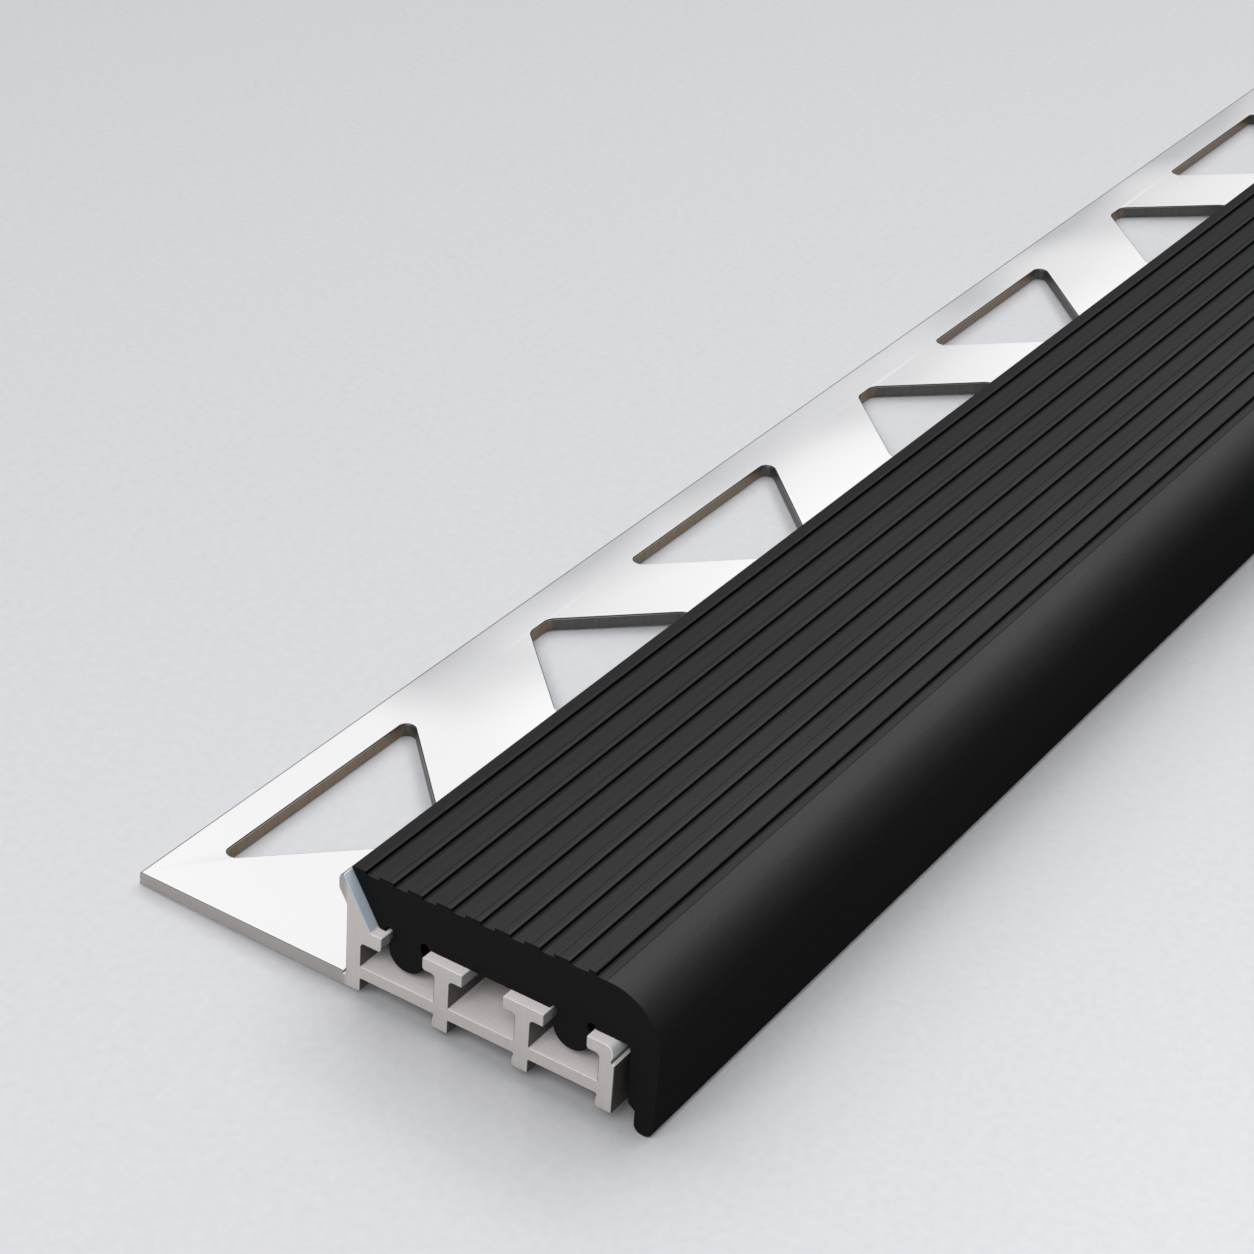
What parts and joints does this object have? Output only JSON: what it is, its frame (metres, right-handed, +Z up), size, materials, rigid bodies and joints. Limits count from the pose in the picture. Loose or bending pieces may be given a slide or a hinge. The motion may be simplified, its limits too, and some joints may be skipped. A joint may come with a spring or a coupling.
{
  "type": "stair nosing",
  "caption": "Stair nosing in stock length: aluminium carrier with a perforated anchoring leg, and a ribbed black rubber tread that wraps the step's front edge.",
  "frame": {"origin": "middle of the footprint, at the height of the nose flap's lowest point", "axes": "+X along the length, with the pictured cut end at -X; -Y towards the nose and +Y towards the anchoring leg; +Z up, away from the step"},
  "size_m": [1, 0.0466, 0.0123],
  "materials": {
    "aluminium": "bright satin, mill finish",
    "tread_rubber": "matte black, fine grain"
  },
  "bodies": {
    "root": {"carrier_profile": "aluminium", "tread_insert": "tread_rubber"}
  },
  "joints": []
}
